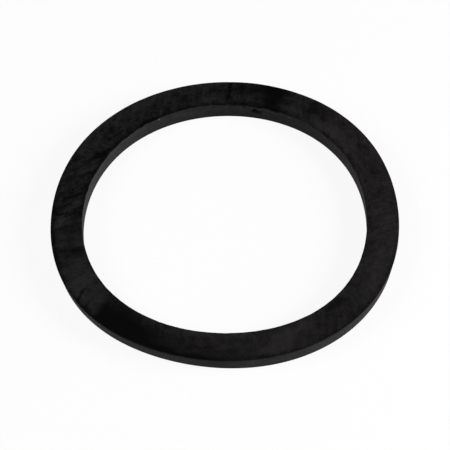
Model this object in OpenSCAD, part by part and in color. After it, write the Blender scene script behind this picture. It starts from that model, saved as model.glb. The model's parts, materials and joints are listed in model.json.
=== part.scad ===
// Flat rubber gasket: one plain ring of rectangular section with small rounds on its edges.
// Z is the ring's axis, and the origin is the middle of the hole on the lower sealing face.

/* [Ring] */
// Diameter of the hole
bore_d = 101.6; // [20:0.1:300]
// Width of each sealing face, from the wall of the hole to the outside wall
face_w = 11.1; // [4:0.1:40]
// Thickness, from the lower sealing face to the upper one
thickness = 6.35; // [2:0.05:20]

/* [Edges] */
// Radius of the two edges at the hole
bore_edge_r = 0.2; // [0.1:0.05:0.9]
// Radius of the two edges at the outside
rim_edge_r = 0.2; // [0.1:0.05:0.9]

/* [Hidden] */
$fn = 180;
bore_r = bore_d / 2;
rim_r = bore_r + face_w;
rubber_black = "#1b1b1c";

// What a round of radius r takes off a square corner at the origin, with the stuff towards +X and +Y
module corner_cut(r) {
    difference() {
        square(r);
        translate([r, r]) circle(r);
    }
}

// Half of the ring's cross-section: X is the distance from the axis and Y is the height
module ring_section() {
    difference() {
        translate([bore_r, 0]) square([face_w, thickness]);
        translate([bore_r, 0]) corner_cut(bore_edge_r);
        translate([bore_r, thickness]) mirror([0, 1]) corner_cut(bore_edge_r);
        translate([rim_r, 0]) mirror([1, 0]) corner_cut(rim_edge_r);
        translate([rim_r, thickness]) rotate(180) corner_cut(rim_edge_r);
    }
}

// The whole gasket
module gasket_ring() {
    color(rubber_black) rotate_extrude() ring_section();
}

gasket_ring();
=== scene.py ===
"""Black rubber gasket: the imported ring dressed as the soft, dusty ring that lies on a white table."""

import json
import math
from typing import NamedTuple

import bpy
import numpy as np
from mathutils import Matrix, Vector, noise


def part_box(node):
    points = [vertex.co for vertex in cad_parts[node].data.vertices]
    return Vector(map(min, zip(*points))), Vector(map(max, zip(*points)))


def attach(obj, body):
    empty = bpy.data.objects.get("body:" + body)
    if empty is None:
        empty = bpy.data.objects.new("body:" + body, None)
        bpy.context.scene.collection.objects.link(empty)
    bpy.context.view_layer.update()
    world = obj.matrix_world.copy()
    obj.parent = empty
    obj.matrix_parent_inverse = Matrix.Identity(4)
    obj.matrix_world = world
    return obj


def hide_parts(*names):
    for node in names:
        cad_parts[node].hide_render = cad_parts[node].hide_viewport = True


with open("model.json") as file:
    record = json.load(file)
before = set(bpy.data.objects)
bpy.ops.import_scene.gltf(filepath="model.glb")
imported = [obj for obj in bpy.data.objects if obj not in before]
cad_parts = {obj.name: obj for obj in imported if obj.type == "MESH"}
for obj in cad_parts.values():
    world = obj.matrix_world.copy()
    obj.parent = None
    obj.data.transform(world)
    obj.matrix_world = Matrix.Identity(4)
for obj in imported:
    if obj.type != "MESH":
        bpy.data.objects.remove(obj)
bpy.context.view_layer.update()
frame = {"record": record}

bl_info = {
    "name": "Rubber Gasket",
    "version": (1, 0, 0),
    "blender": (4, 5, 0),
    "location": "3D View > Sidebar > Gasket",
    "description": "Builds a soft black rubber ring and the white table that it lies on",
    "category": "Object",
}


class Mark(NamedTuple):
    """One smear, rub, cut, pit or patch of painted light or shade. It is a soft-edged parallelogram, sizes in
    millimetres.
    """

    name: str
    # Middle of the mark: degrees round the ring from +X towards +Y
    angle: float
    # Middle of the mark: on the upper face from the hole outwards, on a wall from the foot upwards
    across: float
    # Extent along the ring, and across it
    length: float
    width: float
    # Way that the mark moves along the ring for each millimetre across
    lean: float = 0.0
    # Change of the dust, which half covers the rubber: -0.5 bares it, 0.5 covers it and more heaps up a
    # crumb.
    # Some marks use it for painted shade and painted light instead of dust
    dust: float = 0.0
    # How far the mark sinks into the surface, or stands out of it if it is below 0
    depth: float = 0.0
    # Distances over which the mark fades at its start, its end and its two sides
    fade_in: float = 1.0
    fade_out: float = 1.0
    fade_side: float = 1.0
    # Change of the dust's tint: -1 makes it grey and 1 makes it reddish
    tint: float = 0.0


class Lobe(NamedTuple):
    """One even wave round the relaxed ring: its number of bulges, their height in mm and where one lies."""

    count: int
    size: float
    angle: float


class Sector(NamedTuple):
    """A part of the ring with soft ends: its middle in degrees, and how near to that it starts and is full.

    Nearness is the cosine of the turn from the middle: 1 there, 0 a quarter of the way round and -1 opposite.
    """

    angle: float
    starts: float
    full: float


class Lamp(NamedTuple):
    """A square soft lamp that shines on the ring: its side and its place in metres."""

    name: str
    side: float
    place: tuple


class Surface(NamedTuple):
    """The true ring's surface: a row for each point of its section, a column for each step round the ring."""

    # Angle of each column, in radians
    angle: np.ndarray
    # Distance from the wall of the hole, height above the table, and the place in space that they give
    across: np.ndarray
    height: np.ndarray
    place: np.ndarray
    # Distance from the nearer wall
    to_wall: np.ndarray
    # How far a point belongs to the upper face, to a wall and to the wall of the hole, from 0 to 1
    upper: np.ndarray
    wall: np.ndarray
    bore: np.ndarray


class Layer(NamedTuple):
    """What a list of marks does to each point: change of dust and painted light, depth in metres, change of
    tint.
    """

    dust: np.ndarray
    depth: np.ndarray
    tint: np.ndarray


class Wear(NamedTuple):
    """The marks on the upper face and on both walls, and how far off along the ring a point reads them."""

    face: Layer
    bore: Layer
    rim: Layer
    stray: np.ndarray


MM = 0.001
NODE = "gasket_ring"
_, RING_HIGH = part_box(NODE)
MOUNTS = {mount["name"]: mount for mount in frame["record"]["mounts"]}
BORE_RADIUS = MOUNTS["bore"]["dims"]["r_mm"] * MM

# Unrolled map of the surface: its name, the bands that the ring is laid out in, and how much of its band
# the section fills
MAP_NAME = "OFBake"
MAP_BANDS = 3
MAP_FILL = 0.98

# Soft noise: how its finer layers fall off and follow each other
NOISE_FALL = 1.0
NOISE_SPACING = 2.0
# Widths of it: in the edges, the upper face, the borders of the marks and the dust's tint
SCALLOP_SIZE = 3.2 * MM
RIPPLE_SIZE = 5 * MM
TEAR_SIZE = 2.4 * MM
SWELL_SIZE = 14 * MM
BORDER_SIZE = 3 * MM
TINT_SIZE = 10 * MM

# Edges: average wear of the hole's upper edge as a share of the most, and how far the outer round varies
SCALLOP_BASE = 0.25
RIPPLE_SHARE = 0.3
# Share of the thickness above which a point moves with the upper face
UPPER_STARTS = 0.75
# Half of the distance over which the look of a face turns into that of a wall
EDGE_BLEND = 0.25 * MM
# How far off its own place a point reads the marks, which gives them uneven borders
BORDER_STRAY = 0.9 * MM

# Dust on the faces: its level; then painted light, which thickens the film towards the right lamp so that the
# upper face is paler there: how much, and the angle in degrees towards which it is thickest
FACE_DUST = 0.5
PAINTED_LIGHT_DRIFT = 0.1
PAINTED_LIGHT_ANGLE = 345
# What rubbing takes off along both edges of a face, and between which distances from the wall it fades
EDGE_RUB = 0.08
RUB_FADES = 0.3 * MM
RUB_ENDS = 1.2 * MM
# Level of dust below which its pattern fades, and the share of the pattern that stays
THIN_DUST = 0.4
LEAST_PATTERN = 0.1
# How far soft noise changes the dust's tint
TINT_DRIFT = 0.4
# Dust on the walls: its level, and painted shade: how much paler the hole's wall is made at its top than at
# its foot, where less light reaches
WALL_DUST = 0.5
BORE_PAINTED_SHADE = 0.26
# Share of what darkens the upper face, wiped patches and painted shade alike, that also darkens the top of
# the outside wall, and between which shares of the height that sets in
WRAP_SHARE = 0.62
WRAP_STARTS = 0.55
WRAP_FULL = 0.95

# Shares of the thickness at which the outside wall stays in place as it leans and sags, and sag over lean
LEAN_PIVOT = 0.5
SAG_PIVOT = 0.2
SAG_SHARE = 0.35
# Share of the raggedness where the hole's edge is torn least, and how far across the face it reaches
LEAST_TEAR = 0.4
TEAR_REACH = 1.2 * MM

# What a way across the face counts for in the streaks, which run on across it, and in the clouds, which lie
# along the ring
STREAK_STRETCH = 0.2
CLOUD_SQUEEZE = 1.35

# Where the pattern in the dust is stronger than elsewhere, or weaker, and by how much
PATTERN_SECTORS = (
    (Sector(115, 0.2, 0.9), 0.3),
    (Sector(252, 0.5, 0.95), -0.25),
    (Sector(328, 0.5, 0.95), -0.18),
)
# Where the dust is reddish, and where the outside wall sags
WARM_SECTOR = Sector(325, -0.4, 0.2)
SAG_SECTOR = Sector(240, 0.7, 1)
# Where the hole's upper edge is torn, and where it is torn most
TORN_SECTOR = Sector(90, -0.1, 0.6)
MOST_TORN_SECTOR = Sector(0, -0.3, 0.2)

# Values of a noise pattern that hold most of it
NOISE_LOW = 0.3
NOISE_HIGH = 0.7
# Levels of dust at which it starts to heap up, and at which it is a pale crumb
HEAP_STARTS = 1.2
HEAP_FULL = 2.2
BUMP_STRENGTH = 0.5
# Sockets of a Mix node for colours, by number because its other kinds have the same names
MIX_FACTOR = 0
MIX_A = 6
MIX_B = 7
MIX_RESULT = 2

RIGHT_LAMP = Lamp("right_lamp", 0.5, (0.85, -0.18, 0.32))
LEFT_LAMP = Lamp("left_lamp", 0.5, (-0.75, -0.1, 0.55))
FRONT_LAMP = Lamp("front_lamp", 0.6, (0.1, -0.9, 0.9))
# Table: corners round it, strips up its border, and the gap that keeps it clear of the ring
TABLE_SIDES = 96
TABLE_STEPS = 8
TABLE_GAP = 0.02 * MM

# The soft ring lies out of round, and the hole is a little uneven besides
RING_LOBES = (
    Lobe(2, 0.59, 137),
    Lobe(3, 0.52, 75),
    Lobe(4, 0.54, 38),
    Lobe(5, 0.06, 64),
    Lobe(6, 0.09, 30),
)
HOLE_LOBES = (Lobe(1, 0.08, 82), Lobe(4, 0.07, 62), Lobe(5, 0.09, 30), Lobe(6, 0.07, 4))

# Upper face, about in order round the ring. A crumb and the long bands along the edges come last: a pale rim
# at the back, and painted shade along the edges of the walls that face the camera
FACE_MARKS = (
    Mark("dull wipe at the right", 5, 5, 9, 8, 2, -0.08, 0, 4, 4, 3),
    Mark("dull wipe at the right", 17.5, 6.6, 9, 5.4, 0.6, -0.12, 0, 3, 3, 2),
    Mark("pale smear at the right", 23.2, 4.2, 6.4, 5, 1.2, 0.25, 0, 2.5, 2.5, 2),
    Mark("dull wipe at the rim", 22.2, 8.6, 3.4, 4.6, 0.6, -0.16, 0, 1.2, 1.2, 1.6),
    Mark("pale inner half at the right", 30, 2.4, 30, 4, 0, 0.12, 0, 8, 6, 1.6),
    Mark("pale smear at the right", 32, 4.8, 14, 9, 1.2, 0.16, 0, 5, 5, 3),
    Mark("pale smear at the right", 42, 3.5, 15, 7, -0.3, 0.34, 0, 5, 5, 2.8),
    Mark("dusty rim at the right", 34, 9.6, 10, 3.4, 0, 0.1, 0, 3, 3, 1.4),
    Mark("pale smear at the hole", 34, 1.6, 4, 3.2, 0, 0.16, 0, 1.4, 1.4, 1.2),
    Mark("pale smear at the hole", 43.4, 1.5, 4.4, 3.2, 0, 0.2, 0, 1.4, 1.4, 1.2),
    Mark("dark thumb spot", 49.9, 7.6, 12.4, 9.4, -0.1, -0.27, 0, 5.4, 2.4, 3.2, tint=-1),
    Mark("dark wipe beside it", 55, 7.4, 3, 9, -0.1, -0.16, 0, 1.4, 1.4, 2),
    Mark("pale smear before the bare patch", 58.6, 4, 7, 6.6, 0.2, 0.23, 0, 2, 1.8, 2),
    Mark("bare corner at the rim", 63.8, 9.6, 4, 3.8, 0, -0.2, 0, 1.4, 1.4, 1.3),
    Mark("bare patch at the back", 69.6, 6, 13.4, 16, 0.1, -0.36, 0, 4.2, 6.4, 2, tint=-1),
    Mark("black heart of it", 68.6, 6.4, 8, 14, -0.1, -0.2, 0, 3.6, 4.2, 3),
    Mark("bare spot beside it", 72.2, 4.4, 3.6, 3.8, 0, -0.18, 0, 1.3, 1.3, 1.4),
    Mark("dusty edge of the hole in it", 68, 1.5, 4, 3, 0, 0.14, 0, 1.4, 1.4, 1.2),
    Mark("bare outer half at the back", 75.4, 8.8, 20, 7, 0, -0.26, 0, 3, 5, 2.2),
    Mark("dark wipe in it", 78, 7.6, 2.6, 4.6, 0, -0.16, 0, 1, 1, 1.6),
    Mark("pale fleck", 76.8, 3.6, 3.8, 5, 0, 0.12, 0, 1.4, 1.4, 1.8, tint=1),
    Mark("dark wipe", 80.6, 5.6, 2.6, 13, 0.1, -0.22, 0, 1.1, 1.1, 1),
    Mark("dull wipe beside it", 82.2, 4.8, 5, 3.8, 0, -0.16, 0, 1.8, 1.8, 1.5),
    Mark("short dark wipe", 82.6, 7.4, 4, 8, 0, -0.13, 0, 1.4, 1.4, 1.8),
    Mark("pale fleck", 83.6, 3.8, 2.4, 3.2, 0, 0.16, 0, 0.9, 0.9, 1.2, tint=1),
    Mark("dull wipe at the hole", 86, 3.4, 6.4, 5.2, 0, -0.3, 0, 2.2, 2.2, 1.8),
    Mark("crack across the face", 85.8, 6.6, 1.8, 9.6, -0.06, -0.42, 0.12, 0.7, 0.7, 1.6),
    Mark("wide outer end of the crack", 85.6, 9, 3, 5, 0, -0.2, 0, 1, 1, 1.6),
    Mark("pale fleck", 91, 3.4, 4, 3.4, 0.9, 0.28, 0, 1.4, 1.4, 1.4, tint=0.6),
    Mark("dark streak above it", 92.4, 6.6, 5.6, 3.2, -1.6, -0.24, 0, 1.8, 1.8, 1.1),
    Mark("pale fleck", 95.4, 3.2, 3.2, 4.2, 0, 0.24, 0, 1, 1, 1.5, tint=1),
    Mark("dark spot beside it", 98.4, 3.8, 3.6, 2.8, 0, -0.14, 0, 1.2, 1.2, 1.1),
    Mark("slanting wipe", 104, 3.6, 6.4, 7.6, -0.4, -0.26, 0, 2.4, 2.4, 2.4),
    Mark("pale smear above it", 100.8, 7.8, 10, 5.8, -0.4, 0.25, 0, 3, 3, 2),
    Mark("pale smear beside it", 109.4, 7.2, 4, 5, -0.5, 0.14, 0, 1.4, 1, 1.6),
    Mark("pale streak at the rim", 104, 9.4, 3.4, 3.6, -0.3, 0.16, 0, 1.2, 1.2, 1.3),
    Mark("fine slanting scratch", 111.4, 4.6, 1.2, 8, -0.34, -0.22, 0.05, 0.5, 0.5, 1.2),
    Mark("pale smear above the scratch", 112.8, 7.8, 4.4, 4.4, -0.5, 0.25, 0, 1.2, 1.4, 1.6),
    Mark("pale fleck beside the scratch", 113.2, 3.8, 2.6, 4.6, -0.5, 0.18, 0, 0.9, 1.2, 1.5, tint=1),
    Mark("pale streak at the rim", 116, 9.4, 3.4, 3.6, -0.4, 0.2, 0, 1.2, 1.2, 1.3),
    Mark("pale fleck", 116, 2.9, 3.2, 3.2, -0.4, 0.16, 0, 1.1, 1.1, 1.2),
    Mark("dull streak beside it", 120, 7.8, 3, 3.2, -0.5, -0.2, 0, 1.1, 1.1, 1.2),
    Mark("pale smear at the left", 122, 6.4, 12, 7, -1.4, 0.12, 0, 3.5, 3.5, 2.4),
    Mark("dusty outer half at the left", 124, 9, 40, 6, 0, 0.18, 0, 12, 10, 2.4),
    Mark("wiped edge of the hole", 118.8, 0.8, 11, 3.6, 0, -0.3, 0, 4, 2.4, 1.6),
    Mark("pale smear at the hole", 124, 3.8, 16, 4.4, -0.6, 0.15, 0, 5, 5, 1.6),
    Mark("pale fleck at the hole", 126.4, 1.6, 3.4, 2.8, 0, 0.16, 0, 1.2, 1.2, 1.1),
    Mark("pale smear at the hole", 133, 2.2, 8, 4, 0, 0.25, 0, 2.6, 2.6, 1.5),
    Mark("pale smear at the left", 135, 5.8, 4, 4, -0.4, 0.15, 0, 1.4, 1.4, 1.5),
    Mark("dull streak at the rim", 136, 9.4, 2.8, 3.4, -0.3, -0.18, 0, 1, 1, 1.3),
    Mark("pale smear at the left", 138, 7.6, 6, 4.6, -0.8, 0.18, 0, 2.4, 2.4, 1.8),
    Mark("pale fleck", 139.6, 5.4, 5, 2.6, 0, 0.06, 0, 2, 2, 1, tint=0.9),
    Mark("slanting wipe at the hole", 144.4, 2.6, 6, 4.8, 1.5, -0.4, 0, 2, 2, 1.6),
    Mark("pale streak above it", 144.2, 9.4, 3.2, 3.6, 0, 0.16, 0, 1.1, 1.1, 1.3),
    Mark("slanting wipe beside it", 148.2, 3.4, 4, 4.4, 1.4, -0.18, 0, 1.4, 1.4, 1.6),
    Mark("pale streak at the rim", 148, 9.4, 3.4, 3.6, 0.6, 0.25, 0, 1.2, 1.2, 1.3),
    Mark("pale fleck", 150.6, 3.2, 4, 3.4, 1.2, 0.12, 0, 1.4, 1.4, 1.3, tint=0.9),
    Mark("slanting wipe at the hole", 155.4, 2.8, 3.6, 5, 1.2, -0.22, 0, 1.5, 1.5, 1.6),
    Mark("pale streak beside it", 152, 2.4, 1.8, 4.6, 1.5, 0.18, 0, 0.7, 0.7, 1.4),
    Mark("pale streak beside it", 156.4, 5.4, 2.2, 6, 1.3, 0.2, 0, 0.8, 0.8, 1.8),
    Mark("pale streak at the rim", 152.4, 8, 5, 5, 1, 0.33, 0, 1.5, 1.5, 1.6),
    Mark("slanting wipe", 158.6, 7.4, 3.6, 8, 0.7, -0.24, 0, 1.3, 1.3, 1.8),
    Mark("outer end of it", 157.6, 9.6, 3, 3.2, 0.4, -0.17, 0, 1, 1, 1.2),
    Mark("pale streak at the rim", 163, 7.4, 3.6, 6.4, 0.7, 0.2, 0, 1.2, 1.2, 1.6),
    Mark("dull wipe at the hole", 165.4, 2.6, 3.4, 4, 0.6, -0.1, 0, 1.2, 1.2, 1.5),
    Mark("slanting scratch", 166.9, 4.6, 1.7, 8, 0.59, -0.3, 0.06, 0.6, 0.6, 1.4),
    Mark("pale fleck at the hole", 170.6, 1.6, 4, 3, 0.3, 0.16, 0, 1.3, 1.3, 1.2),
    Mark("pale fleck", 170.6, 3.2, 4.8, 4.6, 0.4, 0.24, 0, 1.5, 1.5, 1.6, tint=1),
    Mark("dark wipe at the rim", 173.4, 9.2, 4.6, 4.6, 0, -0.2, 0, 1.3, 0.8, 1.6),
    Mark("pale smear", 173.4, 5.4, 4, 5, 0.2, 0.16, 0, 1.4, 1.4, 1.6),
    Mark("pale smear at the hole", 175.8, 3, 3.6, 6, 0.2, 0.15, 0, 1.3, 1.3, 2),
    Mark("dark line across the face", 174.7, 5.2, 1.5, 10.6, 0.1, -0.26, 0.05, 0.6, 0.6, 1.6),
    Mark("pale fleck", 178.6, 7.8, 6, 4.4, 0.8, 0.24, 0, 1, 2, 1.2, tint=1),
    Mark("dull wipe before the crease", 182.4, 4.4, 6.4, 11, 0, -0.16, 0, 2.4, 2.4, 2.6),
    Mark("dull streak before the crease", 186, 3.8, 2.8, 4.2, 0.1, -0.17, 0, 1, 1, 1.5),
    Mark("pale smear before the crease", 188, 2.2, 4.4, 4.4, 0, 0.1, 0, 2, 0.6, 1.8, tint=1.4),
    Mark("pale smear before the crease", 187, 7, 6, 4.4, 0, 0.06, 0, 2, 0.6, 1.6, tint=1.4),
    Mark("dull rim before the crease", 186, 9.6, 3.4, 3.4, 0, -0.18, 0, 1.2, 1.2, 1.3),
    Mark("pale end of it at the hole", 189.8, 1.5, 2.8, 3.6, -0.2, 0.55, 0, 1, 0.4, 1.3),
    Mark("crease across the face", 192.5, 4.6, 4, 10.6, -0.2, -0.28, 0.14, 0.5, 3, 2.4, tint=-1),
    Mark("dull wedge behind the crease", 193.6, 2.8, 4.4, 5.6, -0.2, -0.12, 0, 0.8, 2.2, 2, tint=-1),
    Mark("pale rim behind the crease", 194.4, 9.4, 3.6, 3.6, 0, 0.2, 0, 1.2, 1.2, 1.3),
    Mark("warm smear at the left", 199.5, 4.6, 7, 8, 0, 0.13, 0, 2.5, 2.5, 2.4, tint=0.9),
    Mark("wide pale smear", 206.5, 5.4, 24, 12, 0.2, 0.26, 0, 8, 2, 2),
    Mark("grey smear in it", 206.5, 5.6, 8, 13, 0.4, 0.14, 0, 2.5, 2.5, 2, tint=-1),
    Mark("warm end of it", 215, 7, 6, 8, 0.36, 0.04, 0, 2, 2, 2, tint=0.8),
    Mark("scratch from the rim", 210.2, 7.8, 1.7, 5.8, 0.49, -0.56, 0.1, 0.5, 0.4, 1),
    Mark("pale flake beside it", 212.4, 8, 2.2, 4.4, 0.49, 0.14, 0, 0.4, 0.9, 1.2),
    Mark("dull rim before the bare patch", 216.4, 9.8, 5, 3.2, 0.3, -0.18, 0, 1.6, 1.6, 1.2),
    Mark("wide bare patch", 232.5, 8.8, 28, 22, 0.48, -0.52, 0, 3.8, 18, 9, tint=-0.6),
    Mark("bare edge of the hole by the patch", 227, 1.2, 15, 5, 0, -0.17, 0, 5, 4, 2.4),
    Mark("tail of the bare patch", 247, 8.6, 42, 18, 0.4, -0.3, 0, 12, 26, 7),
    Mark("bare rim past the patch", 250, 10.6, 46, 7, 0.3, -0.22, 0, 12, 26, 4),
    Mark("pale smear at the hole", 243.4, 2.8, 4.4, 5.6, 0.4, 0.15, 0, 1.5, 1.5, 1.8),
    Mark("dull smear at the front", 252, 5.6, 3.4, 6, 0, -0.1, 0, 1.2, 1.2, 2),
    Mark("pale smear at the rim", 256.6, 8.2, 4.4, 5, 0, 0.2, 0, 1.5, 1.5, 1.7),
    Mark("pale edge of the hole at the front", 263, 0.9, 38, 3.4, 0, 0.2, 0, 10, 8, 1.4),
    Mark("warm smear at the front", 262, 5.6, 12, 6, 0.6, 0, 0, 4, 4, 2.4, tint=0.5),
    Mark("dull outer half at the front", 264, 8.4, 26, 7.4, 0, -0.17, 0, 9, 8, 3),
    Mark("pale smear at the hole", 263.2, 2.6, 6, 5, 0, 0.18, 0, 2.2, 2.2, 1.8),
    Mark("dull wipe at the front", 270, 6.4, 6, 7.4, 0, -0.13, 0, 2, 2, 2.2),
    Mark("grey wipe at the front", 273, 6.6, 9, 7, 0.2, 0, 0, 3, 3, 2.6, tint=-0.8),
    Mark("pale rim before the square smear", 278.6, 8.8, 7, 5, 0, 0.14, 0, 2.4, 2.4, 1.8),
    Mark("pale square smear", 287.6, 6, 13, 9, -1.2, 0.28, 0, 1.2, 5, 2.4),
    Mark("pale streak in it", 289.6, 7.8, 3.2, 3.6, -0.8, 0.15, 0, 1.1, 1.1, 1.3),
    Mark("pale smear at the hole", 295.4, 3.2, 15, 5.6, 0, 0.24, 0, 5, 5, 2),
    Mark("brown wipe", 304.4, 5.2, 13, 8, -0.8, -0.17, 0, 4, 4, 3, tint=0.5),
    Mark("dark wipe at the hole", 311.6, 2.2, 12, 5.4, 0.2, -0.42, 0, 5, 3.4, 2.4),
    Mark("dark wipe at the rim", 312, 9.6, 6, 4.6, 0, -0.18, 0, 2, 2, 1.8),
    Mark("dull wipe at the front", 314, 6.2, 4.4, 6.6, -0.4, -0.2, 0, 1.6, 1.6, 2),
    Mark("dull edge of the hole", 319.4, 1.6, 6, 3.6, 0, -0.17, 0, 2, 2, 1.4),
    Mark("grey wipe to the rim", 318, 6.4, 10, 10, -0.6, -0.1, 0, 3, 3, 3, tint=-1),
    Mark("pale fleck", 328, 7.6, 3.2, 4, -0.4, 0.16, 0, 1.1, 1.1, 1.5),
    Mark("dull edge of the hole at the right", 339, 1.6, 14, 4, 0, -0.08, 0, 5, 5, 1.6),
    Mark("dull streak at the right", 339.6, 4.2, 3, 5.4, 1.05, -0.16, 0, 1.1, 1.1, 1.6, tint=-0.6),
    Mark("pale streak beside it", 343, 3.8, 5, 4, 0.5, 0.15, 0, 1.8, 1.8, 1.6),
    Mark("pale smear at the right", 332, 7.2, 24, 8, 0, 0.16, 0, 8, 8, 3),
    Mark("dusty outer half at the right", 343, 8.4, 54, 7.4, 0, 0.1, 0, 16, 16, 3.2),
    Mark("grey wipe at the hole", 347.5, 2, 8, 3, 0, -0.08, 0, 2.5, 2.5, 1.2, tint=-0.8),
    Mark("dull edge of the hole", 354.8, 1.2, 20, 3.6, 0, -0.17, 0, 4, 4, 1.6),
    Mark("pale smear at the right", 357, 8, 8, 5, 0, 0.1, 0, 3, 3, 2),
    Mark("warm streak at the right", 354.9, 7.2, 1.9, 5, 0.42, 0.16, 0, 0.7, 0.7, 1.4, tint=0.8),
    Mark("dust crumb", 81.8, 4.4, 1, 1.2, 0, 1.3, -0.05, 0.4, 0.4, 0.5),
    # Painted shade: a darker band along the edge of the hole at the back, by the wall that faces the camera
    Mark("painted shade along the edge of the hole at the back", 108, 0.5, 142, 3.4, 0, -0.25, 0, 30, 20, 1.5),
    Mark("pale rim at the back", 84, 10.4, 138, 3.6, 0, 0.14, 0, 20, 14, 1.4),
    # Painted shade: darker bands along the hole's edge at the right and the rim at the left and front, by
    # walls facing the camera
    Mark("painted shade along the edge of the hole at the right", 36, 0.2, 48, 2, 0, -0.14, 0, 8, 14, 0.8),
    Mark("painted shade along the rim at the left", 193, 10.8, 74, 4, 0, -0.26, 0, 18, 8, 1.6),
    Mark("painted shade along the rim at the front", 287, 10.8, 114, 4.2, 0, -0.2, 0, 20, 14, 1.7),
)

# Wall of the hole, with across as the height above the table
BORE_MARKS = (
    Mark("pit below the edge", 75, 4.3, 2.2, 2.4, -0.3, -1.1, 1.1, 0.6, 0.8, 0.8),
    Mark("shallow end of the pit", 73.1, 3.8, 2.6, 2.2, -0.3, -0.9, 0.7, 0.8, 0.7, 0.8),
    Mark("nick below the edge", 79.3, 5.8, 1.4, 1, 0, -0.3, 0.25, 0.5, 0.5, 0.4),
    Mark("dust crumb on the edge", 116, 5.8, 1.3, 0.9, 0, 2, -0.1, 0.4, 0.4, 0.4),
    Mark("dust crumb on the edge", 59.5, 5.6, 1.2, 0.8, 0, 1.15, -0.1, 0.4, 0.4, 0.3),
    Mark("pale stretch behind the pit", 70, 5, 4, 5, 0, 0.3, 0, 1.4, 1.4, 2),
    # Painted light: the part of the hole's wall that faces the right lamp painted paler
    Mark("painted light on the wall of the hole at the left", 152, 3.2, 54, 9, 0, 0.3, 0, 16, 10, 1),
    Mark("brightest painted light on it", 162, 4.4, 22, 7, 0, 0.34, 0, 12, 6, 4),
)

# Outside wall, with across as the height above the table
RIM_MARKS = (
    # Painted shade: the wall facing the front, where the lamps are weakest, painted darker
    Mark("painted shade on the wall at the front", 264, 3.2, 15, 9, 0, -0.4, 0, 5, 5, 1),
    Mark("pale spot beside it", 276, 3.2, 6, 7, 0, 0.3, 0, 2, 2, 2),
    # Painted light: the wall facing the right lamp painted paler
    Mark("painted light on the wall at the right", 298, 3.6, 12, 9, 0, 0.2, 0, 5, 5, 2),
    # Painted shade: darker at the foot, where the wall meets the table
    Mark("painted shade at the foot at the left", 226, 1.2, 38, 3.6, 0, -0.3, 0, 10, 12, 1.6),
)

# Upper edge of the hole: depth is how far it lies outwards of its true place
EDGE_MARKS = (
    Mark("cut runs wide", 97, 0, 24, 4, depth=0.24, fade_in=8, fade_out=8),
    Mark("cut runs narrow", 138, 0, 32, 4, depth=-0.32, fade_in=12, fade_out=8),
)

# Slant of the wiped streaks on the upper face: ring angle in degrees, and way along the ring for each way
# across it
STREAK_SLANTS = (
    (8, 0.4),
    (30, 2.2),
    (50, 0.6),
    (70, 0.1),
    (88, 0.1),
    (108, -0.6),
    (128, -1.4),
    (138, 0.2),
    (146, 1.6),
    (160, 1.1),
    (175, 0.4),
    (190, -0.1),
    (212, 0.4),
    (248, 0.4),
    (260, 1.4),
    (270, 1.4),
    (287, -0.4),
    (306, -0.8),
    (328, -0.4),
    (340, 1.0),
    (355, 0.4),
)


def linear(hex_colour):
    """Linear red, green, blue and alpha of an sRGB hex colour."""
    channels = [int(hex_colour[i : i + 2], 16) / 255 for i in (1, 3, 5)]
    return [c / 12.92 if c <= 0.04045 else ((c + 0.055) / 1.055) ** 2.4 for c in channels] + [1.0]


def colour_property(name, description, hex_colour):
    """A colour that a user can change, with an sRGB hex value as its default."""
    return bpy.props.FloatVectorProperty(
        name=name, description=description, default=linear(hex_colour), size=4, subtype="COLOR", min=0, max=1
    )


def length_property(name, description, millimetres):
    """A length that a user can change, with its default in millimetres."""
    return bpy.props.FloatProperty(
        name=name,
        description=description,
        default=millimetres * MM,
        unit="LENGTH",
        subtype="DISTANCE",
        precision=5,
    )


def angle_property(name, description, degrees):
    """An angle that a user can change, with its default in degrees."""
    return bpy.props.FloatProperty(
        name=name, description=description, default=math.radians(degrees), unit="ROTATION", subtype="ANGLE"
    )


def share_property(name, description, share, most=1):
    """A share that a user can change, usually from 0 to the most given."""
    return bpy.props.FloatProperty(
        name=name, description=description, default=share, soft_min=0, soft_max=most, subtype="FACTOR"
    )


def power_property(name, description, watts):
    """A lamp's power that a user can change, with its default in watts."""
    return bpy.props.FloatProperty(name=name, description=description, default=watts, unit="POWER")


def count_property(name, description, count, least):
    """A number of steps that a user can change, down to the least given."""
    return bpy.props.IntProperty(name=name, description=description, default=count, min=least)


class RingShape(bpy.types.PropertyGroup):
    """Sizes of the soft ring as it lies relaxed on the table."""

    outer_radius: length_property("Outside radius", "From the axis to the outside wall", RING_HIGH.x / MM)
    bore_radius: length_property("Hole radius", "From the axis to the wall of the hole", BORE_RADIUS / MM)
    thickness: length_property("Thickness", "From the table to the upper face", RING_HIGH.z / MM)
    slack: share_property("Slack", "How far the ring lies out of round: 0 is true", 1)
    bore_spread: length_property("Hole spread", "How far the relaxed hole is wider than as moulded", 0.11)
    rim_lean: length_property("Rim lean", "How far the outside wall's foot lies inside its top", 1.0)
    edge_radius: length_property("Edge radius", "Round on the outer and lower edges", 0.2)
    worn_edge: length_property("Worn edge", "Most that wear adds to the round at the hole's upper edge", 0.25)
    ragged_edge: length_property("Ragged edge", "How far the hole's upper edge wanders where it tore", 0.8)
    face_swell: length_property("Face swell", "Height of the slow waves in the upper face", 0.05)
    steps_round: count_property("Steps round", "Number of sections round the ring", 960, 90)
    steps_upper: count_property("Upper steps", "Number of strips across the upper face", 32, 4)
    steps_lower: count_property("Lower steps", "Number of strips across the lower face", 10, 4)
    steps_wall: count_property("Wall steps", "Number of strips up each wall", 18, 2)
    steps_edge: count_property("Edge steps", "Number of strips round each edge", 4, 2)

    @property
    def middle_radius(self):
        """Radius of the circle halfway across the faces."""
        return (self.outer_radius + self.bore_radius) / 2

    @property
    def face_width(self):
        """From the wall of the hole to the outside wall."""
        return self.outer_radius - self.bore_radius


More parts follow.
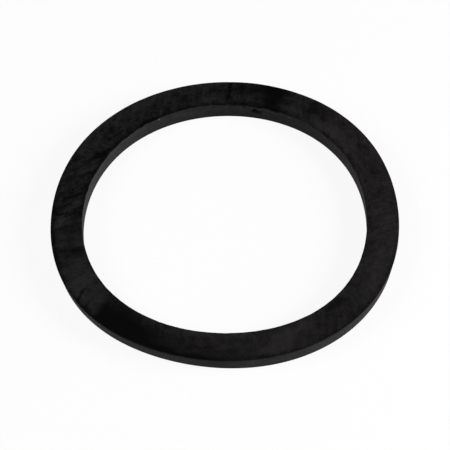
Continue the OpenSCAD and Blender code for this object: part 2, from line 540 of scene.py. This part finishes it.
class RubberFinish(bpy.types.PropertyGroup):
    """Colours, patterns and gloss of the rubber."""

    bare: colour_property("Bare rubber", "Faces where the dust is wiped off", "#050505")
    dusty: colour_property("Dusty rubber", "Faces under a full film of grey dust", "#202020")
    warm: colour_property("Warm dust", "Faces under a full film of reddish dust", "#232022")
    wall: colour_property("Cut wall", "The matt walls under a full film of dust", "#232323")
    crumb: colour_property("Crumb", "Pale crumbs of dust", "#5c5c5e")
    cloud_size: length_property("Cloud size", "Width of a cloud in the dust", 9)
    blotch_size: length_property("Blotch size", "Width of a blotch in the dust", 3)
    streak_size: length_property("Streak width", "Width of the wiped streaks", 1.6)
    grain_size: length_property("Grain size", "Width of a speck of the rubber's grain", 0.8)
    cloud_share: share_property("Clouds", "How far clouds change the dust on the faces", 1.1, 2)
    blotch_share: share_property("Blotches", "How far blotches change the dust on the faces", 1.1, 2)
    streak_share: share_property("Streaks", "How far streaks change the dust on the faces", 0.8, 2)
    grain_share: share_property("Grain", "How far the grain changes the dust on the faces", 1.2, 2)
    wall_blotches: share_property("Wall blotches", "How far blotches change the walls", 0.3)
    wall_grain: share_property("Wall grain", "How far the grain changes the walls", 0.35)
    bare_roughness: share_property("Bare roughness", "Roughness of the moulded skin without dust", 0.42)
    dusty_roughness: share_property("Dusty roughness", "Roughness of the faces under a full film", 0.62)
    wall_roughness: share_property("Wall roughness", "Roughness of the cut walls", 0.85)
    specular: share_property("Specular level", "Strength of the mirrored light", 0.15)
    ior: bpy.props.FloatProperty(name="IOR", description="Refraction of rubber", default=1.52, min=1)
    relief: length_property("Relief", "Height of the grain's bump", 0.03)


class Studio(bpy.types.PropertyGroup):
    """Camera, lamps and table."""

    distance: length_property("Camera distance", "From the middle of the ring to the camera", 805)
    lens: bpy.props.FloatProperty(
        name="Lens", description="Focal length", default=179.9, unit="CAMERA", subtype="DISTANCE_CAMERA"
    )
    elevation: angle_property("Camera elevation", "Height of the camera above the table", 53.4)
    roll: angle_property("Camera roll", "Turn of the camera about its own axis", -3.35)
    aim_x: length_property("Aim right", "Right of the ring's middle that the camera looks at", -0.19)
    aim_y: length_property("Aim back", "Back of the ring's middle that the camera looks at", 0.63)
    table: colour_property("Table", "White paper under the ring", "#fafafa")
    table_radius: length_property("Table radius", "From the ring to the end of the paper", 4000)
    table_sweep: length_property("Table sweep", "Radius of the paper's turned-up border", 500)
    shadow_share: share_property("Shadow share", "Share of the table's white that lamps give", 0.1)
    sky: colour_property("Room", "Dim room above the table", "#202020")
    key_power: power_property("Right lamp", "Power of the soft lamp at the right", 14.6)
    fill_power: power_property("Left lamp", "Power of the soft lamp at the left", 5.4)
    front_power: power_property("Front lamp", "Power of the soft lamp behind the camera", 0.5)


def smooth_step(low, high, x):
    """0 below low and 1 above high, with a smooth rise between them."""
    t = np.clip((x - low) / (high - low), 0, 1)
    return t * t * (3 - 2 * t)


def within(sector, angle):
    """How far each angle lies in a sector, from 0 to 1."""
    return smooth_step(sector.starts, sector.full, np.cos(angle - math.radians(sector.angle)))


def bulge(lobes, angle):
    """Height in metres of a list of lobes at each angle."""
    return sum(lobe.size * MM * np.cos(lobe.count * (angle - math.radians(lobe.angle))) for lobe in lobes)


def ring_points(radius, angle, height):
    """Points at a distance from the axis, an angle round it and a height, each a number or an array."""
    sides = (radius * np.cos(angle), radius * np.sin(angle), height)
    return np.stack(np.broadcast_arrays(*sides), axis=-1)


def noise_at(points, size, octaves=2):
    """Soft noise from about -1 to 1 at each point, with features of the given size."""
    scaled = points.reshape(-1, 3) / size
    values = [noise.fractal(Vector(p), NOISE_FALL, NOISE_SPACING, octaves) for p in scaled]
    return np.array(values).reshape(points.shape[:-1])


def mark_share(mark, along, across):
    """How far each point lies in a mark, from 0 to 1.

    Along and across are distances from the mark's middle in millimetres.
    """
    slid = along - mark.lean * across
    starts = smooth_step(-mark.length / 2, -mark.length / 2 + mark.fade_in, slid)
    ends = 1 - smooth_step(mark.length / 2 - mark.fade_out, mark.length / 2, slid)
    sides = 1 - smooth_step(mark.width / 2 - mark.fade_side, mark.width / 2, np.abs(across))
    return starts * ends * sides


def lay_marks(marks, angle, across, radius):
    """The layer that a list of marks gives on a surface of the given radius."""
    dust, depth, tint = np.zeros_like(across), np.zeros_like(across), np.zeros_like(across)
    for mark in marks:
        turn = (angle - math.radians(mark.angle) + math.pi) % (2 * math.pi) - math.pi
        share = mark_share(mark, turn * radius / MM, across / MM - mark.across)
        dust += mark.dust * share
        depth += mark.depth * MM * share
        tint += mark.tint * share
    return Layer(dust, depth, tint)


def ring_section(shape, edges):
    """Points of the ring's section as distance from the hole and height, one row for each point.

    It starts at the hole's lower edge and goes up the wall of the hole. Edges are the radii of the four
    rounds, as arrays round the ring: lower inner, upper inner, upper outer and lower outer.
    """
    # Each corner: 0 or 1 across the face, 0 or 1 up the thickness, and the angle at which its round starts
    corners = ((0, 0, 270), (0, 1, 180), (1, 1, 90), (1, 0, 0))
    turns = np.linspace(0, math.pi / 2, shape.steps_edge + 1)
    ends = []
    for (x, z, first), r in zip(corners, edges):
        middle = [shape.face_width * x + r * (1 - 2 * x), shape.thickness * z + r * (1 - 2 * z)]
        middle = np.stack(middle, axis=-1)
        spokes = [math.radians(first) - turn for turn in turns]
        ends.append([middle + r[:, None] * [math.cos(spoke), math.sin(spoke)] for spoke in spokes])
    rows = []
    for i, steps in enumerate((shape.steps_wall, shape.steps_upper, shape.steps_wall, shape.steps_lower)):
        rows += ends[i]
        flats = np.linspace(0, 1, steps + 1)[1:-1]
        rows += [ends[i][-1] * (1 - share) + ends[(i + 1) % 4][0] * share for share in flats]
    return np.array(rows)


def lay_surface(shape):
    """The true ring's surface. The hole's upper edge is worn in short scallops, the other edges hardly."""
    angle = np.arange(shape.steps_round) * 2 * math.pi / shape.steps_round
    circle = ring_points(shape.middle_radius, angle, 0)
    scallops = np.clip(noise_at(circle, SCALLOP_SIZE) + SCALLOP_BASE, 0, 1)
    ripple = 1 + RIPPLE_SHARE * noise_at(circle + shape.middle_radius, RIPPLE_SIZE)
    worn = shape.edge_radius + shape.worn_edge * scallops
    true = np.full_like(angle, shape.edge_radius)
    section = ring_section(shape, (true, worn, shape.edge_radius * ripple, true))
    across, height = section[..., 0], section[..., 1]

    place = ring_points(shape.bore_radius + across, angle, height)
    to_wall = np.minimum(across, shape.face_width - across)
    to_face = np.minimum(height, shape.thickness - height)
    upper = smooth_step(UPPER_STARTS, 1, height / shape.thickness)
    wall = smooth_step(-EDGE_BLEND, EDGE_BLEND, to_face - to_wall)
    bore = wall * (across < shape.face_width / 2)
    return Surface(angle, across, height, place, to_wall, upper, wall, bore)


def read_marks(shape, surface):
    """All marks at each point. They have uneven borders, because each point reads them a little way off."""
    stray = noise_at(surface.place, BORDER_SIZE, octaves=3) * BORDER_STRAY
    stray_across = noise_at(surface.place + shape.middle_radius, BORDER_SIZE, octaves=3) * BORDER_STRAY
    angle = surface.angle + stray / shape.middle_radius
    face = lay_marks(FACE_MARKS, angle, surface.across + stray_across, shape.middle_radius)
    bore = lay_marks(BORE_MARKS, angle, surface.height, shape.bore_radius)
    rim = lay_marks(RIM_MARKS, angle, surface.height, shape.outer_radius)
    return Wear(face, bore, rim, stray)


def settle_dust_and_painted_light(shape, surface, wear):
    """Dust and painted light, strength of its pattern, share of wall and warmth of the dust at each point."""
    angle, wall, bore = surface.angle, surface.wall, surface.bore
    # Faces: painted light thickens the film, and so pales the face, towards the right lamp; the dust is
    # rubbed at the edges, some marks add painted shade along them, and thin dust has less pattern
    dust_level_and_painted_light = FACE_DUST + PAINTED_LIGHT_DRIFT * np.cos(angle - math.radians(PAINTED_LIGHT_ANGLE))
    rub = EDGE_RUB * (1 - smooth_step(RUB_FADES, RUB_ENDS, surface.to_wall + wear.stray))
    face_dust_and_painted_light = dust_level_and_painted_light - rub + wear.face.dust * surface.upper
    patchy = 1 + sum(share * within(sector, angle) for sector, share in PATTERN_SECTORS)
    patchy = patchy * np.clip(face_dust_and_painted_light / THIN_DUST, LEAST_PATTERN, 1)
    warmth = within(WARM_SECTOR, angle) + wear.face.tint + TINT_DRIFT * noise_at(surface.place, TINT_SIZE)
    # Walls: painted shade makes the one in the hole darker at its foot than at its top, and what darkens the
    # upper face's rim, wiped patches and painted shade alike, wraps over onto the outside one
    up = surface.height / shape.thickness
    bore_dust_and_painted_light = BORE_PAINTED_SHADE * (up - 0.5) + wear.bore.dust
    wrap = WRAP_SHARE * smooth_step(WRAP_STARTS, WRAP_FULL, up)
    rim_dust_and_painted_light = wrap * np.minimum(wear.face.dust, 0) + wear.rim.dust
    dust = face_dust_and_painted_light * (1 - wall) + WALL_DUST * wall + bore_dust_and_painted_light * bore + rim_dust_and_painted_light * (wall - bore)
    return {"dust": dust, "patchy": patchy, "wall": wall, "warmth": np.clip(warmth, 0, 1)}


def relax(shape, surface, wear):
    """Places of the surface's points on the soft ring as it lies."""
    angle = surface.angle
    outwards = surface.across / shape.face_width
    radius = shape.bore_radius + surface.across
    # The upper face swells in slow waves, and its marks sink in
    swell = shape.face_swell * noise_at(surface.place, SWELL_SIZE)
    height = surface.height + (swell - wear.face.depth * (1 - surface.wall)) * surface.upper
    # The outside wall leans, and its top sags further out at the front left
    up = height / shape.thickness
    sag = SAG_SHARE * within(SAG_SECTOR, angle)
    lean = shape.rim_lean * outwards * (up - LEAN_PIVOT + sag * (up - SAG_PIVOT))
    # The ring slumps out of round, and its hole spreads
    slump = shape.slack * bulge(RING_LOBES, angle) * radius / shape.outer_radius
    spread = (shape.bore_spread + shape.slack * bulge(HOLE_LOBES, angle)) * (1 - outwards)
    # The cut wanders at the hole's upper edge and tore it at the back, most at the right of it
    tear = within(TORN_SECTOR, angle) * (LEAST_TEAR + (1 - LEAST_TEAR) * within(MOST_TORN_SECTOR, angle))
    rag = tear * noise_at(ring_points(shape.middle_radius, angle, 0), TEAR_SIZE, octaves=3)
    wander = lay_marks(EDGE_MARKS, angle, np.zeros_like(angle), shape.bore_radius).depth
    at_edge = surface.upper * (1 - smooth_step(0, TEAR_REACH, surface.across))
    torn = (wander + shape.ragged_edge * rag) * at_edge
    pitted = wear.bore.depth * surface.bore
    return ring_points(radius + slump + lean + spread + torn + pitted, angle, height)


def pattern_places(shape, surface, points):
    """Places by which the material draws its streaks (sweep), and its clouds and blotches (lie).

    Streaks run across the face on a slant, so they change slowly along it and quickly round the ring. Clouds
    and blotches are longer round the ring than across it.
    """
    slants = np.interp(np.degrees(surface.angle), *zip(*STREAK_SLANTS), period=360)
    slanted = surface.angle - slants * (surface.across - shape.face_width / 2) / shape.middle_radius
    sweep = ring_points(shape.middle_radius, slanted, STREAK_STRETCH * surface.across)
    lie = ring_points(shape.middle_radius, surface.angle, CLOUD_SQUEEZE * surface.across + points[..., 2])
    return {"sweep": sweep, "lie": lie}


def join_points(points):
    """A mesh of the ring's points, closed round the ring and round its section."""
    index = np.arange(points.shape[0] * points.shape[1]).reshape(points.shape[:2])
    right = np.roll(index, -1, axis=1)
    down = np.roll(index, -1, axis=0)
    corner = np.roll(right, -1, axis=0)
    quads = np.stack([index, down, corner, right], axis=-1).reshape(-1, 4)
    mesh = bpy.data.meshes.new("rubber_ring")
    mesh.from_pydata(points.reshape(-1, 3).tolist(), [], quads.tolist())
    return mesh


def unroll(mesh, surface):
    """Lays the ring's surface out flat for a map, in bands above each other, so that little room is wasted.

    Each band is a part of the way round the ring. The section runs up it, by its true lengths.
    """
    section = np.stack([surface.across, surface.height], axis=-1)
    rows, columns = section.shape[:2]
    lengths = np.linalg.norm(np.roll(section, -1, axis=0) - section, axis=-1).mean(axis=1)
    up = np.concatenate([[0], np.cumsum(lengths)]) / lengths.sum()
    row, column = np.divmod(np.arange(rows * columns), columns)
    band, along = np.divmod(column, columns // MAP_BANDS)
    corners = []
    for down, right in ((0, 0), (1, 0), (1, 1), (0, 1)):
        along_band = (along + right) * MAP_BANDS / columns
        up_band = (band + up[row + down] * MAP_FILL) / MAP_BANDS
        corners.append([along_band, up_band])
    places = np.array(corners).transpose(2, 0, 1)
    mesh.uv_layers.new(name=MAP_NAME).uv.foreach_set("vector", places.ravel())


def build_ring_mesh(shape):
    """The relaxed ring as one closed mesh, with the values and places that its material reads."""
    surface = lay_surface(shape)
    wear = read_marks(shape, surface)
    points = relax(shape, surface, wear)
    mesh = join_points(points)
    # The dust values carry painted light and shade as well as dust
    for name, values in settle_dust_and_painted_light(shape, surface, wear).items():
        mesh.attributes.new(name, "FLOAT", "POINT").data.foreach_set("value", values.ravel())
    for name, places in pattern_places(shape, surface, points).items():
        mesh.attributes.new(name, "FLOAT_VECTOR", "POINT").data.foreach_set("vector", places.ravel())
    unroll(mesh, surface)
    mesh.shade_smooth()
    mesh.validate()
    return mesh


def add_node(tree, kind, inputs=None, **settings):
    """Adds a node to a tree with its settings, and with its inputs as values or as links from other nodes."""
    node = tree.nodes.new(kind)
    for name, value in settings.items():
        setattr(node, name, value)
    for key, value in (inputs or {}).items():
        if isinstance(value, bpy.types.NodeSocket):
            tree.links.new(value, node.inputs[key])
        else:
            node.inputs[key].default_value = value
    return node


def empty_tree(owner):
    """The node tree of a material or a world, with nothing in it."""
    owner.use_nodes = True
    owner.node_tree.nodes.clear()
    return owner.node_tree


def face_film(tree, finish, dust):
    """Film of dust and painted light on the faces, 0 to 1, and the patterns that break it up where it is
    patchy.
    """
    place = add_node(tree, "ShaderNodeTexCoord").outputs["Object"]
    sweep = add_node(tree, "ShaderNodeAttribute", attribute_name="sweep").outputs["Vector"]
    lie = add_node(tree, "ShaderNodeAttribute", attribute_name="lie").outputs["Vector"]
    patchy = add_node(tree, "ShaderNodeAttribute", attribute_name="patchy").outputs["Fac"]
    patterns = {}
    film = dust
    for name, places, size, detail, roughness, share in (
        ("cloud", lie, finish.cloud_size, 4, 0.6, finish.cloud_share),
        ("blotch", lie, finish.blotch_size, 3, 0.6, finish.blotch_share),
        ("streak", sweep, finish.streak_size, 3, 0.5, finish.streak_share),
        ("grain", place, finish.grain_size, 2, 0.6, finish.grain_share),
    ):
        inputs = {"Vector": places, "Scale": 1 / size, "Detail": detail, "Roughness": roughness}
        patterns[name] = add_node(tree, "ShaderNodeTexNoise", inputs).outputs["Fac"]
        inputs = {"Value": patterns[name], "To Min": -share / 2, "To Max": share / 2}
        change = add_node(tree, "ShaderNodeMapRange", inputs).outputs["Result"]
        inputs = {0: change, 1: patchy, 2: film}
        film = add_node(tree, "ShaderNodeMath", inputs, operation="MULTIPLY_ADD").outputs["Value"]
    return add_node(tree, "ShaderNodeClamp", {"Value": film}).outputs["Result"], patterns


def wall_film(tree, finish, dust, patterns):
    """Film of dust on the walls, which blotches and grain make a little uneven."""
    film = dust
    for name, share in (("blotch", finish.wall_blotches), ("grain", finish.wall_grain)):
        inputs = {"Value": patterns[name], "From Min": NOISE_LOW, "From Max": NOISE_HIGH}
        inputs |= {"To Min": 1 - share, "To Max": 1 + share}
        change = add_node(tree, "ShaderNodeMapRange", inputs).outputs["Result"]
        film = add_node(tree, "ShaderNodeMath", {0: film, 1: change}, operation="MULTIPLY").outputs["Value"]
    return film


def moulded_rubber(finish):
    """Black moulded rubber with cut walls.

    The faces keep the satin skin of the mould under a film of dust and bloom, which greys the black in clouds
    and is wiped off in streaks and patches. The walls are cut, so they are matt and an even dark grey with a
    fine grain, and black in the pits. The film also holds painted light and shade: paler towards the right
    lamp, darker on the walls facing the front, at the foot of the hole's wall and along edges facing the
    camera.
    """
    material = bpy.data.materials.new("Black moulded rubber")
    tree = empty_tree(material)
    # The dust attribute holds painted light and shade as well as dust
    dust = add_node(tree, "ShaderNodeAttribute", attribute_name="dust").outputs["Fac"]
    wall = add_node(tree, "ShaderNodeAttribute", attribute_name="wall").outputs["Fac"]
    warmth = add_node(tree, "ShaderNodeAttribute", attribute_name="warmth").outputs["Fac"]
    film, patterns = face_film(tree, finish, dust)
    on_wall = wall_film(tree, finish, dust, patterns)
    inputs = {"Value": dust, "From Min": HEAP_STARTS, "From Max": HEAP_FULL}
    heap = add_node(tree, "ShaderNodeMapRange", inputs).outputs["Result"]

    inputs = {MIX_FACTOR: warmth, MIX_A: finish.dusty, MIX_B: finish.warm}
    dust_colour = add_node(tree, "ShaderNodeMix", inputs, data_type="RGBA").outputs[MIX_RESULT]
    inputs = {MIX_FACTOR: film, MIX_A: finish.bare, MIX_B: dust_colour}
    face_colour = add_node(tree, "ShaderNodeMix", inputs, data_type="RGBA").outputs[MIX_RESULT]
    inputs = {MIX_FACTOR: on_wall, MIX_A: finish.bare, MIX_B: finish.wall}
    wall_colour = add_node(tree, "ShaderNodeMix", inputs, data_type="RGBA").outputs[MIX_RESULT]
    inputs = {MIX_FACTOR: wall, MIX_A: face_colour, MIX_B: wall_colour}
    ring_colour = add_node(tree, "ShaderNodeMix", inputs, data_type="RGBA").outputs[MIX_RESULT]
    inputs = {MIX_FACTOR: heap, MIX_A: ring_colour, MIX_B: finish.crumb}
    colour = add_node(tree, "ShaderNodeMix", inputs, data_type="RGBA").outputs[MIX_RESULT]

    inputs = {"Value": film, "To Min": finish.bare_roughness, "To Max": finish.dusty_roughness}
    face_roughness = add_node(tree, "ShaderNodeMapRange", inputs).outputs["Result"]
    inputs = {"Value": wall, "To Min": face_roughness, "To Max": finish.wall_roughness}
    roughness = add_node(tree, "ShaderNodeMapRange", inputs).outputs["Result"]
    inputs = {"Height": patterns["grain"], "Strength": BUMP_STRENGTH, "Distance": finish.relief}
    relief = add_node(tree, "ShaderNodeBump", inputs).outputs["Normal"]
    inputs = {"Base Color": colour, "Roughness": roughness, "Normal": relief}
    inputs |= {"IOR": finish.ior, "Specular IOR Level": finish.specular}
    rubber = add_node(tree, "ShaderNodeBsdfPrincipled", inputs)
    add_node(tree, "ShaderNodeOutputMaterial", {"Surface": rubber.outputs["BSDF"]})
    return material


def white_paper(studio):
    """Plain white paper, lit from the side. The camera sees it near white, with a light shadow on it."""
    material = bpy.data.materials.new("White paper")
    tree = empty_tree(material)
    paper = add_node(tree, "ShaderNodeBsdfDiffuse", {"Color": studio.table})
    white = add_node(tree, "ShaderNodeEmission", {"Strength": 1.0})
    ray = add_node(tree, "ShaderNodeLightPath")
    seen = ray.outputs["Is Camera Ray"]
    for kind in ("Is Glossy Ray", "Is Transmission Ray"):
        inputs = {0: seen, 1: ray.outputs[kind]}
        seen = add_node(tree, "ShaderNodeMath", inputs, operation="ADD").outputs["Value"]
    inputs = {0: seen, 1: 1 - studio.shadow_share}
    share = add_node(tree, "ShaderNodeMath", inputs, operation="MULTIPLY").outputs["Value"]
    inputs = {0: share, 1: paper.outputs["BSDF"], 2: white.outputs["Emission"]}
    both = add_node(tree, "ShaderNodeMixShader", inputs)
    add_node(tree, "ShaderNodeOutputMaterial", {"Surface": both.outputs["Shader"]})
    return material


def add_object(name, data):
    """A new object in the scene's own collection."""
    made = bpy.data.objects.new(name, data)
    bpy.context.scene.collection.objects.link(made)
    return made


def add_lamp(lamp, power):
    """Sets up a soft lamp with the given power, turned to the ring."""
    data = bpy.data.lights.new(lamp.name, "AREA")
    data.energy = power
    data.size = lamp.side
    made = add_object(lamp.name, data)
    made.location = lamp.place
    made.rotation_euler = (-Vector(lamp.place)).to_track_quat("-Z", "Y").to_euler()


class GASKET_OT_build_ring(bpy.types.Operator):
    """Builds the soft rubber ring in place of the plain one"""

    bl_idname = "gasket.build_ring"
    bl_label = "Build Rubber Ring"

    def execute(self, context):
        scene = context.scene
        ring = add_object("rubber_ring", build_ring_mesh(scene.gasket_shape))
        ring.data.materials.append(moulded_rubber(scene.gasket_finish))
        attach(ring, "root")
        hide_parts(NODE)
        return {"FINISHED"}


class GASKET_OT_build_stage(bpy.types.Operator):
    """Builds the table, the lamps and the camera"""

    bl_idname = "gasket.build_stage"
    bl_label = "Build Stage"

    def execute(self, context):
        scene = context.scene
        studio = scene.gasket_studio
        self.lay_table(studio)
        self.light(scene, studio)
        self.set_camera(scene, studio)
        scene.view_settings.view_transform = "Standard"
        return {"FINISHED"}

    def lay_table(self, studio):
        """A wide round sheet just below the ring.

        Its border turns up, so that low views have white behind the ring.
        """
        turns = np.linspace(0, math.pi / 2, TABLE_STEPS + 1)
        reach = studio.table_radius - studio.table_sweep * (1 - np.sin(turns))
        rise = studio.table_sweep * (1 - np.cos(turns)) - TABLE_GAP
        angle = np.arange(TABLE_SIDES) * 2 * math.pi / TABLE_SIDES
        corners = ring_points(reach[:, None], angle, rise[:, None]).reshape(-1, 3)
        index = np.arange(len(corners)).reshape(-1, TABLE_SIDES)
        onward = np.roll(index, -1, axis=1)
        border = np.stack([index[:-1], index[1:], onward[1:], onward[:-1]], axis=-1).reshape(-1, 4)
        mesh = bpy.data.meshes.new("table")
        mesh.from_pydata(corners.tolist(), [], [index[0].tolist(), *border.tolist()])
        mesh.shade_smooth()
        mesh.materials.append(white_paper(studio))
        add_object("table", mesh)

    def light(self, scene, studio):
        """Soft lamps at both sides and in front, and a dim room, which the upper face mirrors."""
        add_lamp(RIGHT_LAMP, studio.key_power)
        add_lamp(LEFT_LAMP, studio.fill_power)
        add_lamp(FRONT_LAMP, studio.front_power)
        world = bpy.data.worlds.new("Room")
        tree = empty_tree(world)
        sky = add_node(tree, "ShaderNodeBackground", {"Color": studio.sky, "Strength": 1.0})
        add_node(tree, "ShaderNodeOutputWorld", {"Surface": sky.outputs["Background"]})
        scene.world = world

    def set_camera(self, scene, studio):
        """The photograph's view: from the front and above, through a long lens."""
        data = bpy.data.cameras.new("camera")
        data.lens = studio.lens
        camera = add_object("camera", data)
        back = Vector((0, -math.cos(studio.elevation), math.sin(studio.elevation)))
        right = Vector((1, 0, 0))
        level = Matrix((right, back.cross(right), back)).transposed()
        turned = Matrix.Rotation(studio.roll, 3, back) @ level
        aim = Vector((studio.aim_x, studio.aim_y, 0))
        camera.matrix_world = Matrix.Translation(aim + back * studio.distance) @ turned.to_4x4()
        scene.camera = camera


class GASKET_PT_panel(bpy.types.Panel):
    """Lists the ring's and the stage's settings"""

    bl_label = "Rubber Gasket"
    bl_idname = "GASKET_PT_panel"
    bl_space_type = "VIEW_3D"
    bl_region_type = "UI"
    bl_category = "Gasket"

    def draw(self, context):
        for operator, groups in (
            (GASKET_OT_build_ring, (context.scene.gasket_shape, context.scene.gasket_finish)),
            (GASKET_OT_build_stage, (context.scene.gasket_studio,)),
        ):
            box = self.layout.box()
            for group in groups:
                for name in group.__annotations__:
                    box.prop(group, name)
            box.operator(operator.bl_idname)


CLASSES = (RingShape, RubberFinish, Studio, GASKET_OT_build_ring, GASKET_OT_build_stage, GASKET_PT_panel)
GROUPS = {"gasket_shape": RingShape, "gasket_finish": RubberFinish, "gasket_studio": Studio}


def register():
    """Registers the classes and gives each scene its settings."""
    for cls in CLASSES:
        bpy.utils.register_class(cls)
    for name, group in GROUPS.items():
        setattr(bpy.types.Scene, name, bpy.props.PointerProperty(type=group))


def unregister():
    """Takes the settings and the classes away again."""
    for name in GROUPS:
        delattr(bpy.types.Scene, name)
    for cls in reversed(CLASSES):
        bpy.utils.unregister_class(cls)


def main():
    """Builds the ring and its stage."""
    register()
    bpy.ops.gasket.build_ring()
    bpy.ops.gasket.build_stage()


if __name__ == "__main__":
    main()
